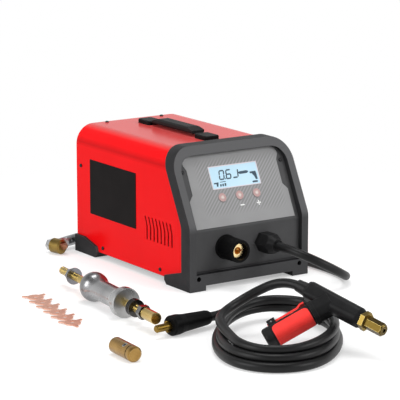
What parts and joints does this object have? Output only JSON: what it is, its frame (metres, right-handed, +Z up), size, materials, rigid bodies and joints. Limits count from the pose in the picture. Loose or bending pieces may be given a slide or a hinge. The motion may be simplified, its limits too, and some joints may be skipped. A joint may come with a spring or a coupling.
{
  "type": "dent pulling welder",
  "caption": "Spot-weld dent puller: red sheet power unit with a sloped control panel, earth lead, trigger torch on a coiled cable, slide hammer, star washers and washer holder",
  "frame": {"origin": "centre of the base of the box round the whole set, its cords left out, on the floor", "axes": "X to the right seen from the power unit's front, Y from its front to its rear, Z up"},
  "size_m": [0.6186, 0.9858, 0.256],
  "materials": {
    "red_paint": "gloss powder coat",
    "charcoal": "fine moulded grain",
    "panel_dark": "dark satin paint",
    "overlay_grey": "printed satin film",
    "lens": "clear window, lit pale blue",
    "key_white": "smooth",
    "black_plastic": "moulded",
    "black_rubber": "smooth rubber",
    "red_plastic": "moulded",
    "brass": "turned",
    "copper": "bare copper",
    "steel": "zinc plated",
    "polished_steel": "turned and blackened in places",
    "core_steel": "varnished laminations",
    "winding": "varnished wire",
    "aluminium": "extruded",
    "board_green": "lacquered"
  },
  "bodies": {
    "set": {"front_bezel": "charcoal", "cover": "red_paint", "base_pan": "panel_dark", "rear_panel": "panel_dark", "rear_feet": "charcoal", "case_screws": "steel", "front_panel": "panel_dark", "keypad_overlay": "overlay_grey", "display_lens": "lens", "lcd_module": "black_plastic", "control_board": "board_green", "socket_collar": "black_rubber", "socket_insert": "brass", "panel_nuts": "brass", "gland_body": "black_plastic", "gland_nut": "black_plastic", "handle_cap_front": "black_plastic", "handle_cap_rear": "black_plastic", "handle_band_rear": "black_rubber", "handle_band_front": "black_rubber", "transformer_core": "core_steel", "primary_winding": "winding", "secondary_winding": "copper", "transformer_clamps": "steel", "heatsink": "aluminium", "thyristor_module": "black_plastic", "busbars": "copper", "mains_gland": "black_plastic", "switch_body": "black_plastic", "earth_cable": "black_rubber", "earth_lug": "steel", "earth_bolt": "steel", "earth_terminal": "brass", "earth_tip": "copper", "torch_grip_pads": "red_plastic", "torch_shell_upper": "black_plastic", "torch_shell_lower": "black_plastic", "torch_sleeve": "black_rubber", "torch_end_cap": "black_rubber", "trigger_pin": "steel", "torch_switch": "black_plastic", "torch_stem": "brass", "torch_chuck": "brass", "torch_coil": "black_rubber", "torch_cable": "black_rubber", "plug_cable": "black_rubber", "plug_body": "black_rubber", "plug_pin": "brass", "hammer_rod": "brass", "hammer_nuts": "steel", "star_washers": "copper", "washer_holder": "brass", "holder_screw": "steel"},
    "key_mode": {"button_mode": "key_white"},
    "key_minus": {"button_minus": "key_white"},
    "key_plus": {"button_plus": "key_white"},
    "rocker": {"switch_rocker": "red_plastic"},
    "trigger": {"torch_trigger": "red_plastic"},
    "carry_grip": {"handle_grip": "black_rubber"},
    "slide_weight": {"hammer_weight": "polished_steel"}
  },
  "joints": [
    {"name": "press_mode", "type": "slide", "parent": "set", "child": "key_mode", "axis": [0, 0.9026, -0.4305], "range_m": [0, 0.0008], "stiffness_N_per_m": 600, "springref_m": -0.0005},
    {"name": "press_minus", "type": "slide", "parent": "set", "child": "key_minus", "axis": [0, 0.9026, -0.4305], "range_m": [0, 0.0008], "stiffness_N_per_m": 600, "springref_m": -0.0005},
    {"name": "press_plus", "type": "slide", "parent": "set", "child": "key_plus", "axis": [0, 0.9026, -0.4305], "range_m": [0, 0.0008], "stiffness_N_per_m": 600, "springref_m": -0.0005},
    {"name": "mains_rocker", "type": "hinge", "parent": "set", "child": "rocker", "pos_m": [0.097, 0.4275, 0.17], "axis": [1, 0, 0], "range_deg": [0, 20]},
    {"name": "trigger_pull", "type": "hinge", "parent": "set", "child": "trigger", "pos_m": [-0.04261, -0.3011, 0.03487], "axis": [0.6, 0.3112, -0.737], "range_deg": [0, 3], "stiffness_Nm_per_rad": 2, "springref_deg": -2.86},
    {"name": "handle_lift", "type": "slide", "parent": "set", "child": "carry_grip", "axis": [0, 0, 1], "range_m": [0, 0.018], "deforming": ["handle_band_rear", "handle_band_front"]},
    {"name": "weight_slide", "type": "slide", "parent": "set", "child": "slide_weight", "axis": [-0.1045, -0.9945, 0], "range_m": [-0.0623, 0.0255]}
  ]
}
